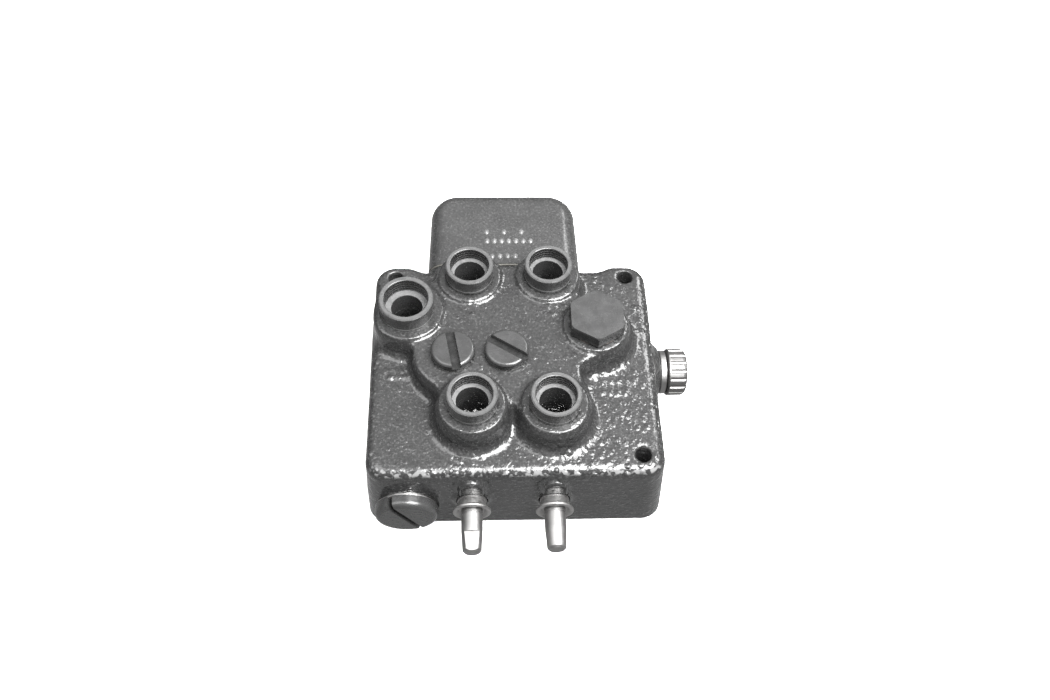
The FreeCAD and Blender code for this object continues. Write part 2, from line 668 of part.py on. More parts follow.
def cover_block(y_range, inset):
    """Drafted block with rounded rear corners and a rounded top, drawn in all round by inset."""
    draft = (y_range[1] - y_range[0]) * math.tan(math.radians(COVER_DRAFT_DEG))
    low_x, high_x = COVER_X[0] + inset, COVER_X[1] - inset
    low_z, high_z = COVER_Z[0] + inset, COVER_Z[1] - inset
    block = Part.makeWedge(low_x, y_range[0], low_z, low_z, low_x + draft,
                           high_x, y_range[1], high_z, high_z, high_x - draft)
    rear = y_range[1] - 0.01
    block = block.makeFillet(COVER_CORNER_R - inset, parallel_edges(block, Z_AXIS, lambda c: c.y > rear))
    top = [edge for edge in block.Edges
           if edge.CenterOfMass.z > high_z - 0.01 and edge.CenterOfMass.y > y_range[0] + 0.01]
    return block.makeFillet(COVER_TOP_R - inset, top)


def gasket_plate(inset):
    """Flat plate of the cover's front outline, drawn in by inset."""
    block = box((COVER_X[0] + inset, COVER_X[1] - inset), (REAR_Y, COVER_Y[0]),
                (COVER_Z[0] + inset, COVER_Z[1] - inset))
    return block.makeFillet(COVER_TOP_R - inset, parallel_edges(block, Y_AXIS, lambda c: c.z > SPOOL_Z))


def solenoid_cover():
    """Cast cover over both solenoids: a shell with two screw pillars and a cable opening."""
    shell = cover_block(COVER_Y, 0.0).cut(cover_block((COVER_Y[0] - 1, COVER_Y[1] - COVER_WALL), COVER_WALL))
    pillars = [rod_y(PILLAR_R, COVER_Y[0], COVER_Y[1] - 1.5, COVER_MID_X, z) for z in COVER_SCREWS]
    shell = fused([shell] + pillars)
    tools = []
    for z in COVER_SCREWS:
        tools.append(rod_y(SCREW_R + 0.2, COVER_Y[0] - 1, COVER_Y[1] + 1, COVER_MID_X, z))
        tools.append(rod_y(3.9, COVER_Y[1] - 4.2, COVER_Y[1] + 1, COVER_MID_X, z))
    tools.append(rod_y(6.0, COVER_Y[1] - 6, COVER_Y[1] + 1, COVER_MID_X, GLAND_Z))
    return drilled(shell, tools)


def cover_gasket():
    """Flat gasket between the block and the cover."""
    eyes = [rod_y(PILLAR_R, REAR_Y, COVER_Y[0], COVER_MID_X, z) for z in COVER_SCREWS]
    bridge = box((COVER_MID_X - 1.5, COVER_MID_X + 1.5), (REAR_Y, COVER_Y[0]),
                 (COVER_Z[0] + 1, COVER_Z[1] - 1))
    gasket = fused([gasket_plate(0.3).cut(gasket_plate(COVER_WALL)), bridge] + eyes)
    holes = [rod_y(SCREW_R + 0.2, REAR_Y - 1, COVER_Y[0] + 1, COVER_MID_X, z) for z in COVER_SCREWS]
    return drilled(gasket, holes)


def cover_screws():
    """Two long socket head screws from the rear."""
    screws = []
    for z in COVER_SCREWS:
        head_rear = COVER_Y[1] - 0.2
        head = rod_y(3.5, head_rear - 4.0, head_rear, COVER_MID_X, z)
        shank = rod_y(SCREW_R, REAR_Y - 9, head_rear - 3, COVER_MID_X, z)
        place = FreeCAD.Placement(V(COVER_MID_X, 0, z), FreeCAD.Rotation(X_AXIS, -90))
        socket = hexagon_prism(3.0, head_rear - 2.2, head_rear + 1, 0, place)
        screws.append(fused([head, shank]).cut(socket))
    return Part.makeCompound(screws)


def gland_body():
    """Cable gland body through the cover's rear wall."""
    wall_rear = COVER_Y[1]
    place = FreeCAD.Placement(V(COVER_MID_X, 0, GLAND_Z), FreeCAD.Rotation(X_AXIS, -90))
    flange = hexagon_prism(14.0, wall_rear, wall_rear + 3.0, 0, place)
    sleeve = rod_y(6.0, wall_rear - 7.5, wall_rear + 0.5, COVER_MID_X, GLAND_Z)
    neck = rod_y(5.2, wall_rear + 2.5, wall_rear + 6.0, COVER_MID_X, GLAND_Z)
    return drilled(fused([flange, sleeve, neck]), [rod_y(4.2, 80, 110, COVER_MID_X, GLAND_Z)])


def gland_lock_nut():
    """Thin hexagon nut inside the cover."""
    low = COVER_Y[1] - COVER_WALL - 3.0
    place = FreeCAD.Placement(V(COVER_MID_X, 0, GLAND_Z), FreeCAD.Rotation(X_AXIS, -90))
    nut = hexagon_prism(14.0, low, low + 3.0, 0, place)
    return nut.cut(rod_y(6.0, 80, 110, COVER_MID_X, GLAND_Z))


def gland_cap():
    """Domed cap nut that squeezes the gland's seal."""
    low = COVER_Y[1] + 3.2
    high = COVER_Y[1] + 9.0
    cap = rod_y(6.9, low, high, COVER_MID_X, GLAND_Z)
    rim = [edge for edge in cap.Edges if edge.CenterOfMass.y > high - 0.01]
    cap = cap.makeFillet(1.8, rim)
    return drilled(cap, [rod_y(5.2, low - 1, high - 2.6, COVER_MID_X, GLAND_Z),
                         rod_y(3.6, low, high + 1, COVER_MID_X, GLAND_Z)])


def gland_seal():
    """Rubber sleeve inside the gland, open for a 6 mm cable."""
    return ring_y(3.0, 4.2, COVER_Y[1] - 4.0, COVER_Y[1] + 5.8, COVER_MID_X, GLAND_Z)


# ---------------------------------------------------------------- bypass valve


def bypass_bonnet():
    """Screwed bonnet with a smooth collar; the stem's thread runs in its bore."""
    profile = [(BYPASS_CHAMBER_END, BYPASS_STEM_BORE_R), (BYPASS_CHAMBER_END, BYPASS_SHANK_R),
               (NECK_END_X, BYPASS_SHANK_R), (NECK_END_X, 9.2), (NECK_END_X + 0.5, 9.7),
               (BONNET_END_X - 0.4, 9.7), (BONNET_END_X, 9.3), (BONNET_END_X, 3.05),
               (63.5, 3.05), (63.5, BYPASS_STEM_BORE_R + 1.2), (61.0, BYPASS_STEM_BORE_R + 1.2),
               (61.0, BYPASS_STEM_BORE_R)]
    return revolved(profile, V(0, BYPASS_Y, BYPASS_Z), X_AXIS)


def bypass_packing():
    """Packing ring round the stem, inside the bonnet."""
    return ring_x(3.02, BYPASS_STEM_BORE_R + 1.2, 61.6, 63.4, BYPASS_Y, BYPASS_Z)


def bypass_stem():
    """Threaded stem that presses on the ball."""
    profile = [(47.05, 0), (47.05, 2.2), (48.0, 3.0), (51.0, 3.0), (51.6, BYPASS_STEM_R),
               (58.4, BYPASS_STEM_R), (59.0, 3.0), (74.0, 3.0), (74.0, 0)]
    return revolved(profile, V(0, BYPASS_Y, BYPASS_Z), X_AXIS)


def bypass_knob():
    """Fluted finger knob on the stem."""
    profile = [(KNOB_START_X, 0), (KNOB_START_X, KNOB_R - 0.6), (KNOB_START_X + 0.6, KNOB_R),
               (75.8, KNOB_R), (76.9, KNOB_R - 0.5), (KNOB_END_X, 9.0), (KNOB_END_X, 0)]
    knob = revolved(profile, V(0, BYPASS_Y, BYPASS_Z), X_AXIS)
    flutes = []
    count = 18
    for i in range(count):
        angle = 2 * math.pi * i / count
        y = BYPASS_Y + (KNOB_R + 0.55) * math.cos(angle)
        z = BYPASS_Z + (KNOB_R + 0.55) * math.sin(angle)
        flutes.append(rod_x(1.15, KNOB_START_X + 1.0, KNOB_END_X + 1, y, z))
    flutes.append(rod_x(3.0, KNOB_START_X - 1, 74.0, BYPASS_Y, BYPASS_Z))
    return drilled(knob, flutes)


# ---------------------------------------------------------------- write every node

os.makedirs("parts", exist_ok=True)

lower_block, upper_block = parted(casting())
save("valve_body", lower_block)
save("port_island", upper_block)
for port_name in PORTS:
    save("port_collar_" + port_name, port_collar(port_name))

for side_name, check in CHECKS.items():
    check_x, check_y, head_radius = check[:3]
    save("check_plug_" + side_name, check_plug(side_name))
    save("check_washer_" + side_name,
         ring_z(CHECK_SHANK_R, head_radius - 0.3, PLATEAU_TOP, PLATEAU_TOP + 0.8, check_x, check_y))
    save("check_ball_" + side_name, Part.makeSphere(CHECK_BALL_R, V(check_x, check_y, CHECK_BALL_Z)))
    check_spring = coil_spring(2.6, 0.35, CHECK_BALL_Z + CHECK_BALL_R - 0.8, 46.9, 5)
    check_spring.translate(V(check_x, check_y, 0))
    save("check_spring_" + side_name, check_spring)

save("relief_plug", relief_plug())
save("relief_washer", ring_z(RELIEF_SHANK_R, 10.8, LEDGE_TOP, HEX_BOTTOM, RELIEF_X, RELIEF_Y))
save("relief_poppet", relief_poppet())
relief_spring = coil_spring(3.6, 0.6, 36.05, 49.95, 5)
relief_spring.translate(V(RELIEF_X, RELIEF_Y, 0))
save("relief_spring", relief_spring)

save("strainer_plug", strainer_plug())
save("strainer_seal",
     ring_y(STRAINER_THREAD_R, 12.4, STRAINER_FACE - 0.8, STRAINER_FACE, STRAINER_X, STRAINER_Z))
save("strainer_basket", strainer_basket())

for side_name in SPOOL_X:
    save("spool_" + side_name, spool(side_name))
    save("override_pin_" + side_name, override_pin(side_name))
    save("pin_guide_" + side_name, pin_guide(side_name))
    save("wiper_seal_" + side_name, wiper_seal(side_name))
    save("armature_" + side_name, armature(side_name))
    save("armature_tube_" + side_name, armature_tube(side_name))
    save("pole_piece_" + side_name, pole_piece(side_name))
    save("return_spring_" + side_name, return_spring(side_name))
    save("bobbin_" + side_name, bobbin(side_name))
    save("winding_" + side_name, winding(side_name))
    save("coil_frame_" + side_name, coil_frame(side_name))
    save("coil_nut_" + side_name, coil_nut(side_name))

save("terminal_block", terminal_block())
save("terminal_screws", terminal_screws())
save("solenoid_cover", solenoid_cover())
save("cover_gasket", cover_gasket())
save("cover_screws", cover_screws())
save("gland_body", gland_body())
save("gland_lock_nut", gland_lock_nut())
save("gland_cap", gland_cap())
save("gland_seal", gland_seal())

save("bypass_bonnet", bypass_bonnet())
save("bypass_packing", bypass_packing())
save("bypass_ball", Part.makeSphere(BYPASS_BALL_R, V(BYPASS_BALL_X, BYPASS_Y, BYPASS_Z)))
save("bypass_stem", bypass_stem())
save("bypass_knob", bypass_knob())
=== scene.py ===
import json
import math

import bpy
import numpy as np
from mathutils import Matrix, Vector


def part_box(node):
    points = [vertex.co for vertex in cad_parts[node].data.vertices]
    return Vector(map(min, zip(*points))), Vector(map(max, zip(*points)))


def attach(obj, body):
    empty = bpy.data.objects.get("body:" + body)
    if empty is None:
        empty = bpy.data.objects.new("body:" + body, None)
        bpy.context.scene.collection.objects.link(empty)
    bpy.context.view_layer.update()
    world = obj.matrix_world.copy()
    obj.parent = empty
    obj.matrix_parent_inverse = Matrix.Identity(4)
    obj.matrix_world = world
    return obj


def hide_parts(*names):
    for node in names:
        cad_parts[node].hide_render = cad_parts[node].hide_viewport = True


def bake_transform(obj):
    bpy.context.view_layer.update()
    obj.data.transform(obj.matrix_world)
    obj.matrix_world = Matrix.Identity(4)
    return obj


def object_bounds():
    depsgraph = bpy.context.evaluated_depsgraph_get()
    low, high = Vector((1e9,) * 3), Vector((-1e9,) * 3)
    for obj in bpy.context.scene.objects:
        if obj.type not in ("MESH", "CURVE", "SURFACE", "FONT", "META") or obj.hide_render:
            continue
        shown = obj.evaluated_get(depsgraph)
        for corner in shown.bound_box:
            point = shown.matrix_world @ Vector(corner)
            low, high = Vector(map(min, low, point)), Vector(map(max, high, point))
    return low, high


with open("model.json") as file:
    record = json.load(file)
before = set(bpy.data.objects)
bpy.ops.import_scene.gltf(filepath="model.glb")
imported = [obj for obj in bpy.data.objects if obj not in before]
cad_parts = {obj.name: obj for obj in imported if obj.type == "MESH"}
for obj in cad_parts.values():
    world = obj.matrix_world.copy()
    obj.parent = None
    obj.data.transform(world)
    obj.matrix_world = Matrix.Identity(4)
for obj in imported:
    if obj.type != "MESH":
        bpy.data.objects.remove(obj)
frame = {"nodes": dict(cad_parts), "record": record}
cad_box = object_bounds()

# The looks of a solenoid directional valve. Shapes are worked out in millimetres and stored in metres,
# in the CAD frame: +X towards the bypass knob, +Y towards the solenoid cover, +Z up through the ports.

MM = 0.001
SIDES = ("left", "right")
PORTS = ("inlet", "rear_left", "rear_right", "front_left", "front_right")


def box_mm(node):
    """Lowest and highest corner of a CAD node at rest, in millimetres."""
    low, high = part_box(node)
    return np.array(low) / MM, np.array(high) / MM


def middle_mm(node):
    """Middle of a CAD node's box, in millimetres."""
    low, high = box_mm(node)
    return (low + high) / 2


# ---------------------------------------------------------------- shared sizes, in millimetres

PLATE_HALF_X = 60.5           # at the top; the side and front walls lean out to the base
PLATE_FRONT = -51.5
BASE_LEFT = -62.5
BASE_RIGHT = 63.8
BASE_FRONT = -53.5
PLATE_TOP = 42.0
PLATEAU_TOP = 52.5
LEDGE_TOP = 54.0
REAR_EDGE = 50.4              # rear edge of the plate between its corner lugs and the cover pad
LUG_REAR = 53.2
PAD_REAR = 51.5
LUG_START = 38.0              # the corner lugs grow rearward from this distance off the middle
LUG_SPREAD = 9.0
CORNER_R = 8.5
TOP_EDGE_R = 4.2
ROOT_FILLET_R = 3.6
BOSS_FILLET_R = 4.0
ISLAND_LEAN = 0.18            # sideways run of the island's wall for each unit of height
LEDGE_HALF_HEIGHT = 2.5
MOUNT_X = 51.5
MOUNT_REAR_Y = 46.0
MOUNT_FRONT_Y = -43.0
MOUNT_R = 3.3
SPOOL_Z = 22.0
PAD_FRONT = -53.9
STRAINER_FACE = -52.2
NECK_END = 65.6
NECK_END_R = 10.5             # the neck under the knob widens towards the block
NECK_SPREAD = 0.86
NECK_HALF_LENGTH = 3.8
KNOB_Y = 9.0
KNOB_Z = 19.7
ARCH_HALF_WIDTH = 5.2         # arched pads over the pins
ARCH_FOOT = 17.0
ARCH_TOP = 37.5
ARCH_RING_R = 7.2
PAD_HALF_DEPTH = 3.0          # of the cover's pad and of the arches
PORT_SHAFT_R = 6.65
PORT_SHAFT_END = 15.0
COLLAR_SEAT_INSET = 0.7
SPOOL_BORE_R = 5.5
SPOOL_BORE_FRONT = -46.0
GROOVE_R = 7.3
GROOVE_PLACES = (-25.5, 38.0)
GROOVE_HALF_LENGTH = 4.0
PIN_BORE_R = 6.3
PIN_BORE_END = -45.0
CHECK_BORE = (5.6, 37.0, 7.4)   # radius, middle height and half length
RELIEF_BORE = (6.9, 33.0, 8.6)
BYPASS_BORE_R = 5.3
BYPASS_BORE_START = 40.5
STRAINER_SEAT_R = 13.5
INLET_MOUTH = (2.2, 7.3)      # a tapped mouth's inset from its collar's outside, and its depth
PORT_MOUTH = (2.0, 6.5)
THREAD_PITCH = 1.5
PIP_R = 1.70                  # plain cast pips that mark the ports and the cover
PIP_HEIGHT = 0.65
PIP_PITCH = 3.3
PLATE_PIPS = [(-53.6, -2.8, 4), (-52.0, -6.0, 3), (37.4, -9.0, 5), (36.6, -14.4, 4),
              (-19.4, 22.6, 2), (-17.8, 18.2, 1), (15.2, 22.6, 3), (16.8, 18.2, 1)]
COVER_PIPS = [(-10.8, 70.6, 3, 8.0), (-10.6, 65.3, 7, 3.3), (-8.4, 56.6, 4, 3.5)]

# Spans over which the casting's skin changes, in millimetres.
HIGHLIGHT_RISE = (39.4, 40.4)    # painted highlight along the front edge between these heights
HIGHLIGHT_FALL = (41.5, 42.0)
HIGHLIGHT_FRONT = (-48.5, -46.5)
WALL_TO_EDGE = (35.5, 38.0)   # few grains on the walls, many on the top edge, some on the plate
EDGE_TO_PLATE = (40.8, 42.0)
PLATE_TO_ISLAND = (45.0, 49.0)
LEFT_TO_RIGHT = (-45.0, 25.0)

# ---------------------------------------------------------------- node material helpers


class Shader:
    """A node material under construction, with short calls for the nodes used here."""

    def __init__(self, name):
        self.material = bpy.data.materials.new(name)
        self.material.use_nodes = True
        self.tree = self.material.node_tree
        self.tree.nodes.clear()
        self.output = self.add("ShaderNodeOutputMaterial")
        self.surface = self.add("ShaderNodeBsdfPrincipled")
        self.tree.links.new(self.surface.outputs["BSDF"], self.output.inputs["Surface"])
        self.place = self.add("ShaderNodeTexCoord").outputs["Object"]

    def add(self, kind, **settings):
        node = self.tree.nodes.new(kind)
        for key, value in settings.items():
            setattr(node, key, value)
        return node

    def feed(self, socket, value):
        """Link an output to a socket, or set the socket's own value."""
        if isinstance(value, bpy.types.NodeSocket):
            self.tree.links.new(value, socket)
        else:
            socket.default_value = value

    def set(self, **values):
        """Set or link Principled inputs; underscores in the names stand for spaces."""
        for key, value in values.items():
            self.feed(self.surface.inputs[key.replace("_", " ")], value)

    def math(self, operation, a, b=0.0, clamp=False):
        node = self.add("ShaderNodeMath", operation=operation, use_clamp=clamp)
        self.feed(node.inputs[0], a)
        self.feed(node.inputs[1], b)
        return node.outputs[0]

    def noise(self, size_mm, detail=2.0, roughness=0.5, stretch=None):
        """Noise whose features are about size_mm across."""
        where = self.place
        if stretch:
            mapping = self.add("ShaderNodeMapping")
            self.feed(mapping.inputs["Vector"], where)
            mapping.inputs["Scale"].default_value = stretch
            where = mapping.outputs[0]
        node = self.add("ShaderNodeTexNoise")
        self.feed(node.inputs["Vector"], where)
        node.inputs["Scale"].default_value = 1.0 / (size_mm * MM)
        node.inputs["Detail"].default_value = detail
        node.inputs["Roughness"].default_value = roughness
        return node.outputs["Fac"]

    def grains(self, size_mm, radius, sparse):
        """Round grains about size_mm apart: 0 between them, up to 1 on top; sparse leaves more out."""
        node = self.add("ShaderNodeTexVoronoi", feature="F1")
        self.feed(node.inputs["Vector"], self.place)
        node.inputs["Scale"].default_value = 1.0 / (size_mm * MM)
        share = self.add("ShaderNodeSeparateColor")
        self.feed(share.inputs[0], node.outputs["Color"])
        away = self.math("DIVIDE", node.outputs["Distance"], radius)
        dome = self.math("SUBTRACT", 1.0, self.math("MULTIPLY", away, away), True)
        return self.math("MULTIPLY", dome, self.band(share.outputs[0], sparse, 1.0, 0.15, 1.0))

    def band(self, value, low, high, to_low=0.0, to_high=1.0):
        """Value mapped from low..high to to_low..to_high, held at the ends."""
        node = self.add("ShaderNodeMapRange")
        self.feed(node.inputs["Value"], value)
        node.inputs["From Min"].default_value = low
        node.inputs["From Max"].default_value = high
        node.inputs["To Min"].default_value = to_low
        node.inputs["To Max"].default_value = to_high
        return node.outputs["Result"]

    def mix(self, fac, a, b):
        """Colour a where fac is 0 and b where it is 1."""
        node = self.add("ShaderNodeMix", data_type="RGBA")
        self.feed(node.inputs[0], fac)
        self.feed(node.inputs[6], a)
        self.feed(node.inputs[7], b)
        return node.outputs[2]

    def axis(self, name):
        """One coordinate of the surface point, in metres."""
        node = self.add("ShaderNodeSeparateXYZ")
        self.feed(node.inputs[0], self.place)
        return node.outputs[name]

    def along(self, name, span, to_low, to_high):
        """Value that goes from to_low to to_high over a span of one coordinate, in millimetres."""
        return self.band(self.axis(name), span[0] * MM, span[1] * MM, to_low, to_high)

    def bump(self, height, distance_mm, normal=None):
        node = self.add("ShaderNodeBump")
        self.feed(node.inputs["Height"], height)
        node.inputs["Distance"].default_value = distance_mm * MM
        if normal is not None:
            self.feed(node.inputs["Normal"], normal)
        return node.outputs["Normal"]


def grey(value, warm=0.0):
    """Grey colour; warm above 0 leans it to yellow, below 0 to blue."""
    return (value * (1 + warm), value, value * (1 - warm), 1.0)


# ---------------------------------------------------------------- materials


def cast_enamel(name, base, grain_depth, fine_depth, roughness, wear=0.0):
    """Glossy grey enamel over a casting: fine orange peel, cloudy tone and light specks.

    With a grain_depth it also has scattered round grains and a painted highlight along the front edge.
    """
    s = Shader(name)
    cloud = s.noise(14.0, 3.0, 0.6)
    speck = s.noise(1.1, 2.0, 0.7)
    tone = s.mix(s.band(cloud, 0.35, 0.65), grey(base * 0.84), grey(base * 1.12))
    tone = s.mix(s.band(s.noise(0.9, 1.0, 0.5), 0.38, 0.62, 0.0, 0.55), tone, grey(base * 0.45))
    tone = s.mix(s.band(speck, 0.56, 0.68, 0.0, 0.55 + wear), tone, grey(base * 2.5))
    s.set(Roughness=s.band(s.noise(3.0, 2.0), 0.3, 0.7, roughness - 0.05, roughness + 0.08))
    normal = s.bump(s.noise(1.2, 1.0, 0.5), fine_depth)
    if grain_depth:
        # Painted highlight: the front top edge is lightened in patches where light glints on it.
        edge_highlight = s.math("MULTIPLY", s.along("Z", HIGHLIGHT_RISE, 0.0, 1.0), s.along("Z", HIGHLIGHT_FALL, 1.0, 0.0))
        edge_highlight = s.math("MULTIPLY", edge_highlight, s.along("Y", HIGHLIGHT_FRONT, 1.0, 0.0))
        edge_highlight = s.math("MULTIPLY", edge_highlight, s.band(s.noise(2.2, 1.0, 0.5), 0.49, 0.58, 0.0, 0.8))
        tone = s.mix(edge_highlight, tone, grey(base * 7))
        patches = s.band(s.noise(19.0, 1.0, 0.5), 0.42, 0.62, 0.40, 1.0)
        calmer_island = s.along("Z", PLATE_TO_ISLAND, 1.0, 0.55)
        calmer_left = s.along("X", LEFT_TO_RIGHT, 0.60, 1.0)
        wall_to_edge = s.along("Z", WALL_TO_EDGE, 0.35, 2.8)
        edge_to_plate = s.along("Z", EDGE_TO_PLATE, 1.0, 0.38)
        share = s.math("MULTIPLY", patches, s.math("MULTIPLY", calmer_island, calmer_left))
        share = s.math("MULTIPLY", share, s.math("MULTIPLY", wall_to_edge, edge_to_plate))
        coarse = s.math("MULTIPLY", s.grains(3.2, 0.52, 0.25), share)
        normal = s.bump(coarse, grain_depth, normal)
        normal = s.bump(s.grains(1.7, 0.48, 0.3), grain_depth * 0.25, normal)
    s.set(Base_Color=tone, Normal=normal)
    return s.material


def turned_enamel(name, base, bands=(), bore=None):
    """Enamelled turned part, lighter or darker between the heights of each band, in millimetres: bands of
    painted highlight, painted shade and worn paint.

    bore is the centre, radius and shoulder height of a tapped mouth, ridged inside, with painted shade on its
    wall.
    """
    s = Shader(name)
    height = s.axis("Z")
    tone = s.mix(s.band(s.noise(5.0, 3.0), 0.35, 0.65), grey(base * 0.85), grey(base * 1.15))
    wear_and_light_patches = s.band(s.noise(2.4, 3.0, 0.6), 0.25, 0.55, 0.5, 1.0)
    for low, high, gain in bands:
        rise = s.band(height, (low - 0.3) * MM, low * MM)
        fall = s.band(height, high * MM, (high + 0.3) * MM, 1.0, 0.0)
        inside = s.math("MULTIPLY", s.math("MULTIPLY", rise, fall), wear_and_light_patches)
        tone = s.mix(inside, tone, grey(base * gain))
    lines = s.noise(0.35, 1.0, 0.5, stretch=(0.15, 0.15, 1.6))
    normal = s.bump(s.noise(1.6, 2.0, 0.5), 0.05, s.bump(lines, 0.02))
    if bore:
        centre_x, centre_y, radius, shoulder = bore
        off_x = s.math("SUBTRACT", s.axis("X"), centre_x * MM)
        off_y = s.math("SUBTRACT", s.axis("Y"), centre_y * MM)
        squared = s.math("ADD", s.math("MULTIPLY", off_x, off_x), s.math("MULTIPLY", off_y, off_y))
        away = s.math("SQRT", squared)
        wall = s.band(away, (radius + 0.1) * MM, (radius + 0.3) * MM, 1.0, 0.0)
        wall = s.math("MULTIPLY", wall, s.band(height, (shoulder + 0.3) * MM, (shoulder + 0.7) * MM))
        # Painted shade on the mouth's wall above its shoulder.
        tone = s.mix(wall, tone, grey(base * 0.35))
        ridge = s.math("SINE", s.math("MULTIPLY", height, 2 * math.pi / (THREAD_PITCH * MM)))
        normal = s.bump(s.math("MULTIPLY", ridge, wall), 0.12, normal)
    s.set(Base_Color=tone, Normal=normal)
    s.set(Roughness=s.band(s.noise(2.0, 2.0), 0.3, 0.7, 0.20, 0.32))
    return s.material


def steel(name, base, roughness, line_axis, dirt=0.25):
    """Turned or drawn metal with fine lines across one axis, faint stains and scuffs."""
    s = Shader(name)
    stretch = {"X": (1.8, 0.1, 0.1), "Y": (0.1, 1.8, 0.1), "Z": (0.1, 0.1, 1.8)}[line_axis]
    lines = s.noise(0.30, 2.0, 0.5, stretch=stretch)
    stain = s.band(s.noise(4.0, 3.0, 0.65), 0.42, 0.68, 0.0, dirt)
    tone = s.mix(s.band(lines, 0.3, 0.7), grey(base * 0.93, 0.01), grey(base * 1.05, 0.01))
    s.set(Base_Color=s.mix(stain, tone, grey(base * 0.45, 0.04)), Metallic=1.0)
    s.set(Roughness=s.band(s.noise(1.5, 2.0), 0.3, 0.7, roughness - 0.04, roughness + 0.06))
    s.set(Normal=s.bump(s.noise(3.0, 1.0), 0.012, s.bump(lines, 0.004)))
    return s.material


def coloured_metal(name, colour, roughness):
    """Copper or brass with a faint tarnish."""
    s = Shader(name)
    dark = tuple(0.55 * c for c in colour[:3]) + (1.0,)
    s.set(Base_Color=s.mix(s.band(s.noise(3.0, 3.0), 0.45, 0.7), tuple(colour) + (1.0,), dark), Metallic=1.0)
    s.set(Roughness=s.band(s.noise(1.0, 2.0), 0.3, 0.7, roughness - 0.05, roughness + 0.1))
    s.set(Normal=s.bump(s.noise(0.4, 2.0), 0.015))
    return s.material


def moulded(name, colour, roughness, grain_depth=0.02):
    """Moulded plastic, rubber or fibre sheet with a fine grain."""
    s = Shader(name)
    light = tuple(min(1.0, 1.25 * c) for c in colour) + (1.0,)
    s.set(Base_Color=s.mix(s.band(s.noise(4.0, 3.0), 0.35, 0.65), tuple(colour) + (1.0,), light))
    s.set(Roughness=s.band(s.noise(0.8, 2.0), 0.3, 0.7, roughness - 0.06, roughness + 0.06))
    s.set(Normal=s.bump(s.noise(0.5, 2.0), grain_depth))
    return s.material


LOOKS = {
    "cast_paint": cast_enamel("cast_paint", 0.026, 0.56, 0.07, 0.15, 0.1),
    "cover_paint": cast_enamel("cover_paint", 0.036, 0.0, 0.05, 0.22),
    # Painted highlight: a lighter enamel for the cover's pips, standing in for their glints.
    "pip_highlight_paint": cast_enamel("pip_highlight_paint", 0.10, 0.0, 0.05, 0.30),
    "collar_paint": turned_enamel("collar_paint", 0.028),
    "plug_paint": turned_enamel("plug_paint", 0.028),
    "zinc_steel": steel("zinc_steel", 0.27, 0.46, "Y", 0.1),
    "guide_steel": steel("guide_steel", 0.36, 0.46, "Y", 0.35),
    "knob_zinc": steel("knob_zinc", 0.20, 0.46, "X"),
    "hard_steel": steel("hard_steel", 0.56, 0.20, "Y", 0.1),
    "spring_steel": steel("spring_steel", 0.40, 0.30, "Z"),
    "soft_iron": steel("soft_iron", 0.42, 0.35, "Y"),
    "tube_steel": steel("tube_steel", 0.60, 0.22, "Y"),
    "copper_wire": coloured_metal("copper_wire", (0.60, 0.24, 0.11), 0.35),
    "copper_sheet": coloured_metal("copper_sheet", (0.17, 0.14, 0.125), 0.40),
    "strainer_brass": coloured_metal("strainer_brass", (0.62, 0.46, 0.20), 0.30),
    "terminal_brass": coloured_metal("terminal_brass", (0.66, 0.50, 0.22), 0.25),
    "soft_metal": steel("soft_metal", 0.50, 0.40, "Z", 0.4),
    "seal_rubber": moulded("seal_rubber", (0.018, 0.018, 0.018), 0.60, 0.01),
    "bobbin_plastic": moulded("bobbin_plastic", (0.05, 0.05, 0.05), 0.45),
    "block_plastic": moulded("block_plastic", (0.50, 0.47, 0.38), 0.45),
    "gland_plastic": moulded("gland_plastic", (0.03, 0.03, 0.032), 0.42),
    "gasket_fibre": moulded("gasket_fibre", (0.06, 0.058, 0.052), 0.75, 0.05),
}

for subpart in frame["record"]["subparts"]:
    node = frame["nodes"][subpart["node"]]
    node.data.materials.clear()
    node.data.materials.append(LOOKS[subpart["material_slot"]])

for port in PORTS:
    collar_low, collar_high = box_mm("port_collar_" + port)
    middle = (collar_low + collar_high) / 2
    mouth_inset, mouth_depth = INLET_MOUTH if port == "inlet" else PORT_MOUTH
    mouth_r = (collar_high[0] - collar_low[0]) / 2 - mouth_inset
    shoulder = collar_high[2] - mouth_depth
    # The rim is lighter, partly worn paint and partly painted highlight; the shoulder inside the mouth gets a
    # painted highlight.
    bands = [(collar_high[2] - 0.35, collar_high[2] + 1, 2.4), (shoulder - 0.2, shoulder + 0.2, 4.5)]
    look = turned_enamel("collar_paint_" + port, 0.028, bands, (middle[0], middle[1], mouth_r, shoulder))
    frame["nodes"]["port_collar_" + port].data.materials[0] = look

# Painted shade on the plugs' sides and slots: each is dark from below its top face down.
for plug_node, tone, dark in (("check_plug_left", 0.028, 0.22), ("check_plug_right", 0.028, 0.22),
                              ("relief_plug", 0.030, 0.45)):
    plug_top = box_mm(plug_node)[1][2]
    # The band below each head is painted shade.
    look = turned_enamel("shaded_" + plug_node, tone, [(LEDGE_TOP - 4.0, plug_top - 1.2, dark)])
    frame["nodes"][plug_node].data.materials[0] = look


# ---------------------------------------------------------------- distance fields, in millimetres


def union_round(a, b, r):
    """Two solids joined with a fillet of radius r in the corner between them."""
    corner = np.hypot(np.maximum(r - a, 0), np.maximum(r - b, 0))
    return np.maximum(r, np.minimum(a, b)) - corner


def both_round(a, b, r):
    """What two solids share, its new edge rounded to radius r."""
    corner = np.hypot(np.maximum(r + a, 0), np.maximum(r + b, 0))
    return np.minimum(-r, np.maximum(a, b)) + corner


def rectangle(x, y, low, high, r):
    """Distance to a rounded rectangle between two corners."""
    half = (np.array(high) - np.array(low)) / 2 - r
    middle = (np.array(high) + np.array(low)) / 2
    dx = np.abs(x - middle[0]) - half[0]
    dy = np.abs(y - middle[1]) - half[1]
    return np.hypot(np.maximum(dx, 0), np.maximum(dy, 0)) + np.minimum(np.maximum(dx, dy), 0) - r


